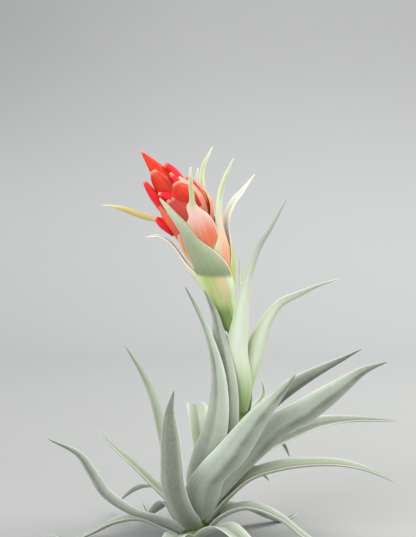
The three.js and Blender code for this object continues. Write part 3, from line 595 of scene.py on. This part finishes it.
# the colours of the body change along it, each over the last: cream at the seat, coral, then a pink bloom
edge = maths(tree, "ADD", organ["Along"], span(tree, organ["Lines"], 0, 1, -0.012, 0.012))
glow = maths(tree, "MULTIPLY", organ["Warmth"], span(tree, edge, 0.30, 0.56, 1.0, 0.0))
body = blend(tree, glow, body_tint, CORAL)
blush = maths(tree, "MULTIPLY", span(tree, edge, 0.3, 0.56, 0.0, 0.95), organ["Warmth"])
body = blend(tree, blush, body, BLUSH)
body = blend(tree, span(tree, organ["Along"], 0.04, 0.25, 0.9, 0.0), body, CREAM)
flush = maths(tree, "MULTIPLY", organ["Tone"], span(tree, organ["Across"], 0.2, -0.6))
body = blend(tree, flush, body, GREEN_FLUSH)
colour = blend(tree, span(tree, edge, 0.56, 0.66), body, tail_tint)
# the keel of the tail is greener, and its end white with scales
keel = span(tree, maths(tree, "ABSOLUTE", organ["Across"]), 0.0, 0.6, 1.0, 0.0)
keel = maths(tree, "MULTIPLY", keel, span(tree, organ["Along"], 0.55, 0.75, 0.0, 0.45))
colour = blend(tree, keel, colour, KEEL_GREEN)
colour = blend(tree, span(tree, organ["Along"], 0.82, 1.0, 0.0, 0.7), colour, TIP_SCALES)
colour = blend(tree, span(tree, organ["Lines"], 0.35, 1.0, 0.0, 0.05), colour, ROSY_STREAK)
margin = span(tree, maths(tree, "ABSOLUTE", organ["Across"]), 0.86, 0.98, 0.0, 0.5)
tree.links.new(blend(tree, margin, colour, HEAD_MARGIN), shader.inputs["Base Color"])
tree.links.new(span(tree, organ["Along"], 0.45, 0.7, 0.42, 0.7), shader.inputs["Roughness"])
living(shader, weight=0.22, depth=0.002)
relief(tree, shader, organ["Height"], depth=0.0001)

SHEATH_LIME, SHEATH_GLOW, SHADED_SHAFT_GREEN = (0.44, 0.53, 0.19, 1), (0.82, 0.60, 0.36, 1), (0.10, 0.21, 0.015, 1)
PALE_RIGHT, PALE_LEFT, SHEATH_STREAK = (0.78, 0.88, 0.60, 1), (0.72, 0.80, 0.48, 1), (0.85, 0.88, 0.62, 1)
SCURF, SCURF_GRAIN, SCURF_STREAK = (0.255, 0.305, 0.155, 1), (0.50, 0.57, 0.44, 1), (0.42, 0.50, 0.35, 1)
SCURF_SHADE, SCURF_TIP, SHEATH_MARGIN = (0.14, 0.18, 0.075, 1), (0.66, 0.68, 0.52, 1), (0.88, 0.90, 0.84, 1)
GLOW_PLACE, GLOW_WIDTH = 0.35, 0.28
sheath_skin, tree, shader = new_material("head_sheath_skin")
organ = organ_surface(tree, line_density=16.0, blotch_scale=200.0)
# the smooth sheath: a peach band is painted where light comes through it, and painted shade in dark green
# where the stalk shows below it
glow = maths(tree, "DIVIDE", maths(tree, "SUBTRACT", organ["Across"], GLOW_PLACE), GLOW_WIDTH)
glow = maths(tree, "EXPONENT", maths(tree, "MULTIPLY", maths(tree, "MULTIPLY", glow, glow), -1.0))
glow = maths(tree, "MULTIPLY", glow, span(tree, organ["Along"], 0.12, 0.32, 0.1, 0.7))
sheath = blend(tree, glow, SHEATH_LIME, SHEATH_GLOW)
sheath = blend(tree, span(tree, organ["Across"], 0.42, 0.75, 0.0, 0.9), sheath, PALE_RIGHT)
sheath = blend(tree, span(tree, organ["Across"], -0.35, -0.85, 0.0, 0.7), sheath, PALE_LEFT)
shaft_shade = span(tree, organ["Along"], 0.11, 0.22, 0.95, 0.0)
shaft_shade = maths(tree, "MULTIPLY", shaft_shade, span(tree, organ["Across"], 0.2, 0.5, 1.0, 0.2))
sheath = blend(tree, shaft_shade, sheath, SHADED_SHAFT_GREEN)
sheath = blend(tree, maths(tree, "MULTIPLY", organ["Lines"], 0.2), sheath, SHEATH_STREAK)
# the free blade: scurfy, shaded where it parts from the sheath, paler towards its tip
scurf = blend(tree, maths(tree, "MULTIPLY", organ["Grain"], 0.35), SCURF, SCURF_GRAIN)
scurf = blend(tree, maths(tree, "MULTIPLY", organ["Lines"], 0.35), scurf, SCURF_STREAK)
line = HEAD_SHEATH["scurf_line"]
edge = maths(tree, "ADD", organ["Along"], maths(tree, "MULTIPLY", organ["Across"], HEAD_SHEATH["scurf_lean"]))
scurf = blend(tree, span(tree, edge, line, line + 0.14, 0.5, 0.0), scurf, SCURF_SHADE)
scurf = blend(tree, span(tree, organ["Along"], 0.6, 1.0, 0.0, 0.75), scurf, SCURF_TIP)
free = span(tree, edge, line - 0.005, line + 0.035)
colour = blend(tree, free, sheath, scurf)
margin = span(tree, maths(tree, "ABSOLUTE", organ["Across"]), 0.88, 1.0, 0.0, 0.8)
tree.links.new(blend(tree, margin, colour, SHEATH_MARGIN), shader.inputs["Base Color"])
tree.links.new(maths(tree, "ADD", maths(tree, "MULTIPLY", free, 0.45), 0.3), shader.inputs["Roughness"])
living(shader, weight=0.3, depth=0.0025)
relief(tree, shader, maths(tree, "MULTIPLY", organ["Height"], free), depth=0.00012)

front_sheath, *other_bracts = HEAD_BRACTS
blade(front_sheath, HEAD_SHEATH, sheath_skin, seed=5.0, steps=150, ripple=0)
for number, bract in enumerate(other_bracts, 1):
    blade(bract, bract.get("form", HEAD_BRACT), head_skin, seed=0.29 * number + 5, ripple=0.06)


# The flower bracts are smaller, waxy and orange-red. They sit close on the axis of the head and overlap like
# scales, up to its point.
FLOWER_BRACT = {
    "keel": 0.1,
    "wide": [0.45, 0.8, 1, 1.03, 0.92, 0.68, 0.36, 0.03],
    "thick": [0.9, 1, 1, 0.95, 0.9, 0.85, 0.7, 0.4],
    "cup": [45, 44, 42, 42, 42, 44, 46, 46],
}
BLUNT_BRACT = {**FLOWER_BRACT, "wide": [0.45, 0.8, 1, 1.03, 1, 0.95, 0.8, 0.3]}
FLOWER_BRACTS = [
    {"name": "flower_bract_tip_front", "width": 9, "climb": [155, 160, 166, 171, 176, 181],
     "reach": [2.4, 3.2, 3, 2.2, 1.2, 0.3], "around": 270, "body": (0.80, 0.028, 0.004)},
    {"name": "flower_bract_tip_back", "width": 9, "climb": [153, 158, 164, 169, 174, 178],
     "reach": [2.4, 3.4, 3.4, 2.9, 2.1, 1.4], "around": 95, "body": (0.85, 0.07, 0.02)},
    {"name": "flower_bract_upper_front", "width": 10, "form": BLUNT_BRACT, "body": (0.60, 0.018, 0.004),
     "climb": [148, 153, 158, 164, 169, 172.6], "reach": [3, 5.2, 6.6, 6.6, 5.2, 3.4],
     "around": [248, 246, 244, 243, 241, 238]},
    {"name": "flower_bract_upper_middle", "width": 12, "form": BLUNT_BRACT, "body": (0.62, 0.024, 0.008),
     "climb": [145, 150, 155, 159.4, 162.8, 165], "reach": [3.2, 6.4, 9.4, 10.8, 10.8, 9.8],
     "around": [284, 286, 288, 290, 292, 294]},
    {"name": "flower_bract_upper_right", "width": 15, "form": BLUNT_BRACT, "body": (0.90, 0.40, 0.30),
     "climb": [139, 145, 151, 157, 162, 165.5], "reach": [3.4, 6.8, 9, 9.6, 8.8, 7.2],
     "around": [324, 324, 326, 329, 329, 326]},
    {"name": "flower_bract_upper_back", "width": 10, "climb": [144, 149, 154, 160, 165, 170],
     "reach": [3.2, 5.8, 7.6, 7.6, 6.4, 4.6], "around": 58, "body": (0.80, 0.12, 0.05)},
    {"name": "flower_bract_left", "width": 11, "body": (0.86, 0.09, 0.035),
     "climb": [140, 146, 152, 158, 164, 169.5], "reach": [3.4, 6.2, 8.6, 10, 10.4, 9.4],
     "around": [178, 178, 178, 179, 181, 183]},
    {"name": "flower_bract_front", "width": 13, "form": BLUNT_BRACT, "body": (0.50, 0.05, 0.04),
     "climb": [136, 142, 148, 153.5, 158.2, 161.6], "reach": [3.4, 6.8, 9.6, 11.3, 11.4, 10.8],
     "around": [262, 262, 261, 259, 257, 256]},
    {"name": "flower_bract_left_front", "width": 11, "body": (0.84, 0.14, 0.07),
     "climb": [133, 139, 145, 151, 157, 162.8], "reach": [3.4, 6.6, 9.4, 11, 11.2, 9.8],
     "around": [217, 217, 217, 216, 214, 212]},
    {"name": "flower_bract_left_back", "width": 11, "climb": [141, 147, 153, 159, 165, 169],
     "reach": [3.4, 5.4, 7, 7.6, 6.8, 5.4], "around": 135, "body": (0.80, 0.14, 0.06)},
    {"name": "flower_bract_back", "width": 11, "climb": [138, 144, 150, 156, 162, 166],
     "reach": [3.4, 6.4, 8.8, 9.4, 8.6, 7.2], "around": 97, "body": (0.80, 0.14, 0.06)},
    {"name": "flower_bract_right", "width": 11, "climb": [138, 143, 148, 152, 155.5, 158],
     "reach": [3.4, 7.2, 10.4, 12, 12, 11.2], "around": 8, "body": (0.90, 0.42, 0.25)},
]
DEEP_ORANGE, BRIGHT_ORANGE = (0.34, 0.015, 0.012, 1), (0.95, 0.10, 0.03, 1)
PALE_EDGE, PALE_TIP = (0.92, 0.26, 0.14, 1), (0.90, 0.55, 0.38, 1)
flower_bract_skin, tree, shader = new_material("flower_bract_skin")
organ = organ_surface(tree, line_density=10.0, blotch_scale=220.0)
body_tint = add(tree, "Attribute", attribute_name="body").outputs["Color"]
# darker towards the base: painted shade where the bracts overlap
base_shade = span(tree, organ["Along"], 0.35, 0.8, 0.7, 0.0)
base_shade = maths(tree, "MULTIPLY", base_shade, span(tree, organ["Blotch"], 0, 1, 0.5, 1))
colour = blend(tree, base_shade, body_tint, DEEP_ORANGE)
colour = blend(tree, span(tree, organ["Blotch"], 0.3, 1, 0.0, 0.2), colour, BRIGHT_ORANGE)
colour = blend(tree, span(tree, organ["Lines"], 0.3, 1.0, 0.0, 0.12), colour, PALE_EDGE)
colour = blend(tree, span(tree, organ["Along"], 0.93, 1.0, 0.0, 0.6), colour, PALE_TIP)
margin = span(tree, maths(tree, "ABSOLUTE", organ["Across"]), 0.8, 0.98, 0.0, 0.4)
tree.links.new(blend(tree, margin, colour, PALE_EDGE), shader.inputs["Base Color"])
shader.inputs["Roughness"].default_value = 0.45
shader.inputs["Specular IOR Level"].default_value = 0.25
living(shader, weight=0.15, depth=0.0012)
relief(tree, shader, organ["Height"], depth=0.00008)

for number, bract in enumerate(FLOWER_BRACTS):
    form = bract.get("form", FLOWER_BRACT)
    blade(bract, form, flower_bract_skin, seed=0.31 * number + 7, steps=40, ripple=0.05)


# Each flower is a slim tube of three soft red petals rolled round each other, seated between the bracts. The
# petals part at the tip, which is pale, round a knot of yellow anthers.
PETALS = 3
PETAL_RADII_MM = [0.8, 1.2, 1.6, 1.95, 2.05, 1.7, 0.9]
PETAL_BULGE, PETAL_LAP, LAP_TURN = 0.16, 0.16, 15
FLOWER_SIDES, FLOWER_STEPS = 36, 40
FLOWERS = [
    {"name": "flower_left_upper", "climb": [148, 153, 159, 164, 168, 171.5],
     "reach": [5.2, 7, 8.2, 8.9, 8.9, 8.2], "around": [222, 216, 211, 208, 205, 203]},
    {"name": "flower_front", "climb": [150, 154, 157.8, 161.3, 165], "reach": [6, 7, 8, 8.9, 9.8],
     "around": [268, 266, 263, 257.5, 239], "anthers_out": 0.3},
    {"name": "flower_left_lower", "climb": [147, 149.5, 152, 154.5, 157],
     "reach": [10.4, 11.2, 12, 12.8, 13.6], "around": [202, 202, 201, 199, 197]},
    {"name": "flower_upper_middle", "climb": [150, 154, 158, 163, 167.6], "reach": [3.6, 4.6, 5.6, 6.4, 6.8],
     "around": [308, 308, 307, 306, 306], "anthers_out": 0.6},
    {"name": "flower_tip", "climb": [154, 158, 162, 167, 171.5], "reach": [3.4, 4.6, 5, 5, 4.6],
     "around": 350},
    {"name": "flower_right", "climb": [147, 151, 155.5, 159.5, 163.3], "reach": [6.2, 8, 8.8, 8.8, 8.4],
     "around": 28},
    {"name": "flower_left_back", "climb": [146, 150, 155, 159, 163], "reach": [7.8, 9.6, 10.8, 11.2, 10.8],
     "around": 140},
    {"name": "flower_back", "climb": [144, 148, 153, 158, 162.5], "reach": [8.4, 10.4, 11.6, 12, 11.8],
     "around": 92},
]
CRIMSON, BRIGHT_CRIMSON = (0.70, 0.006, 0.014, 1), (0.84, 0.012, 0.03, 1)
DEEP_RED, PETAL_TIP = (0.36, 0.003, 0.009, 1), (0.95, 0.40, 0.28, 1)
petal_skin, tree, shader = new_material("petal_skin")
organ = organ_surface(tree, line_density=7.0, blotch_scale=260.0)
colour = blend(tree, organ["Lines"], CRIMSON, BRIGHT_CRIMSON)
colour = blend(tree, span(tree, organ["Along"], 0.0, 0.45, 0.8, 0.0), colour, DEEP_RED)
colour = blend(tree, span(tree, organ["Along"], 0.95, 1.0, 0.0, 0.5), colour, PETAL_TIP)
tree.links.new(colour, shader.inputs["Base Color"])
shader.inputs["Roughness"].default_value = 0.5
shader.inputs["Specular IOR Level"].default_value = 0.3
living(shader, weight=0.12, depth=0.0012)
relief(tree, shader, organ["Height"], depth=0.00006)

ANTHERS = 5
ANTHER_SPREAD_MM, ANTHER_RADIUS_MM, ANTHER_HALF_MM = 0.42, 0.22, 0.4
ANTHER_RINGS, ANTHER_SIDES = 7, 8
# how far the anthers stand out of the mouth: less than nothing, because most sit just inside it
ANTHERS_OUT_MM = -0.45
POLLEN_GOLD, POLLEN_PALE = (0.85, 0.55, 0.08, 1), (0.95, 0.80, 0.35, 1)
anther_yellow, tree, shader = new_material("anther_yellow")
organ = organ_surface(tree, line_density=3.0, blotch_scale=900.0)
tree.links.new(blend(tree, organ["Blotch"], POLLEN_GOLD, POLLEN_PALE), shader.inputs["Base Color"])
shader.inputs["Roughness"].default_value = 0.8


def anther_knot(flower, tip, lift):
    """Five short yellow pods in a ring at a flower's mouth, in mm, as one small mesh."""
    points, faces = [], []
    for number in range(ANTHERS):
        out = lift * flower.get("anthers_out", ANTHERS_OUT_MM)
        spot = tip + outward(lift, 360 / ANTHERS * number) * ANTHER_SPREAD_MM + out
        start = len(points)
        for ring in range(ANTHER_RINGS):
            angle = math.pi * (ring + 0.5) / ANTHER_RINGS
            for turn in range(ANTHER_SIDES):
                bulge = outward(lift, 360 / ANTHER_SIDES * turn) * math.sin(angle) * ANTHER_RADIUS_MM
                points.append(spot + bulge - lift * math.cos(angle) * ANTHER_HALF_MM)
        for ring in range(ANTHER_RINGS - 1):
            for turn in range(ANTHER_SIDES):
                a = start + ring * ANTHER_SIDES + turn
                b = start + ring * ANTHER_SIDES + (turn + 1) % ANTHER_SIDES
                faces.append((a, b, b + ANTHER_SIDES, a + ANTHER_SIDES))
        last = start + (ANTHER_RINGS - 1) * ANTHER_SIDES
        faces.append(tuple(start + turn for turn in reversed(range(ANTHER_SIDES))))
        faces.append(tuple(last + turn for turn in range(ANTHER_SIDES)))
    mesh = bpy.data.meshes.new(flower["name"] + "_anthers")
    mesh.from_pydata((np.array(points) * MM).tolist(), [], faces)
    mesh.shade_smooth()
    mesh.materials.append(anther_yellow)
    return mesh


turns = -360 * np.arange(FLOWER_SIDES) / FLOWER_SIDES
bulge = PETAL_BULGE * np.cos(np.radians(PETALS * turns))
# each petal laps over the next, so the tube has three soft steps that deepen towards the tip
lap = (LAP_TURN - turns) % (360 / PETALS) / (360 / PETALS)
for number, flower in enumerate(FLOWERS):
    middle, along = even_line(path_of(flower), FLOWER_STEPS)
    v = np.linspace(0, 1, FLOWER_STEPS + 1)
    rings = []
    for i, t in enumerate(v):
        radius = ease(PETAL_RADII_MM, np.array([t]))[0] * (1 + t * bulge)
        radius = radius * (1 + PETAL_LAP * (lap - 0.5) * np.sqrt(t))
        rings.append([middle[i] + outward(along[i], turn) * r for turn, r in zip(turns, radius)])
    layers = {
        "place": np.stack(np.broadcast_arrays(turns / ROD_DEGREES, v[:, None], 1.0), axis=-1),
        "trait": (0.23 * number + 2, 0, 0),
    }
    ring_mesh(flower["name"] + "_petals", np.array(rings), layers, petal_skin, flower["name"])
    anthers = bpy.data.objects.new(flower["name"] + "_anthers", anther_knot(flower, middle[-1], along[-1]))
    bpy.context.scene.collection.objects.link(anthers)
    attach(anthers, "root")


# The table is a pale sheet of painted board that curves up into the backdrop behind the plant, so that no
# edge shows. Its grey is lighter far back, low down and to the right, with painted light, and darker high up
# on the left, with painted shade.
TABLE_HALF, TABLE_FRONT = 1.6, -1.2
SWEEP_START, SWEEP_RADIUS, SWEEP_TOP, SWEEP_STEPS = 0.55, 0.35, 1.6, 16
GREY_PAINT, GREY_MOTTLE = (0.445, 0.45, 0.45, 1), (0.435, 0.44, 0.44, 1)
PAINTED_LIGHT_GREY, PAINTED_CORNER_SHADE = (0.59, 0.60, 0.60, 1), (0.36, 0.365, 0.365, 1)
profile = [(TABLE_FRONT, 0.0), (SWEEP_START, 0.0)]
for step in range(1, SWEEP_STEPS + 1):
    angle = math.pi / 2 * step / SWEEP_STEPS
    profile.append((SWEEP_START + SWEEP_RADIUS * math.sin(angle), SWEEP_RADIUS * (1 - math.cos(angle))))
profile.append((SWEEP_START + SWEEP_RADIUS, SWEEP_TOP))
corners = [(x, y, z) for y, z in profile for x in (-TABLE_HALF, TABLE_HALF)]
strips = [(2 * i, 2 * i + 1, 2 * i + 3, 2 * i + 2) for i in range(len(profile) - 1)]
sheet = bpy.data.meshes.new("table_sheet")
sheet.from_pydata(corners, [], strips)
sheet.shade_smooth()
table_paint, tree, shader = new_material("table_paint")
mottle = add(tree, "TexNoise", {"Scale": 40.0, "Detail": 4.0}).outputs[0]
paint = blend(tree, span(tree, mottle, 0.3, 0.7), GREY_PAINT, GREY_MOTTLE)
spot = add(tree, "SeparateXYZ", {0: add(tree, "TexCoord").outputs["Object"]}).outputs
light = maths(tree, "MULTIPLY", span(tree, spot[1], 0.0, 0.62), span(tree, spot[2], 0.06, 0.34, 0.95, 0.2))
light = maths(tree, "MULTIPLY", light, span(tree, spot[0], -0.3, 0.2, 0.7, 1.0))
paint = blend(tree, light, paint, PAINTED_LIGHT_GREY)
corner_shade = maths(tree, "MULTIPLY", span(tree, spot[2], 0.1, 0.36), span(tree, spot[0], 0.05, -0.35, 0.0, 0.9))
tree.links.new(blend(tree, corner_shade, paint, PAINTED_CORNER_SHADE), shader.inputs["Base Color"])
shader.inputs["Roughness"].default_value = 0.8
# it shows only on its upper side, so that the plant can also be looked at from behind it
clear = add(tree, "BsdfTransparent").outputs[0]
sides = {0: add(tree, "NewGeometry").outputs["Backfacing"], 1: shader.outputs[0], 2: clear}
tree.links.new(add(tree, "MixShader", sides).outputs[0], tree.nodes["Material Output"].inputs["Surface"])
sheet.materials.append(table_paint)
table = bpy.data.objects.new("table_sheet", sheet)
bpy.context.scene.collection.objects.link(table)


# The light comes from a wide soft window above, to the right, which makes the margins shine. A wider one
# from the front left and a pale sky fill the shade.
PLANT_MIDDLE = Vector((0.01, 0, 0.09))


def soft_window(name, place, size, power, colour):
    """A round soft light that faces the plant: its width in metres and its power in watts."""
    light = bpy.data.lights.new(name, "AREA")
    light.shape = "DISK"
    light.size = size
    light.energy = power
    light.color = colour
    window = bpy.data.objects.new(name, light)
    window.location = place
    window.rotation_euler = (Vector(place) - PLANT_MIDDLE).to_track_quat("Z", "Y").to_euler()
    bpy.context.scene.collection.objects.link(window)


soft_window("window_right", (0.5, 0.0, 0.75), size=0.5, power=5.8, colour=(1.0, 0.99, 0.95))
soft_window("window_left", (-0.45, -0.7, 0.5), size=0.6, power=5.2, colour=(0.98, 0.99, 1.0))
sky = bpy.data.worlds.new("sky")
sky.use_nodes = True
sky.node_tree.nodes["Background"].inputs["Color"].default_value = (0.95, 0.96, 0.96, 1)
sky.node_tree.nodes["Background"].inputs["Strength"].default_value = 0.74
bpy.context.scene.world = sky
bpy.context.scene.view_settings.view_transform = "Standard"
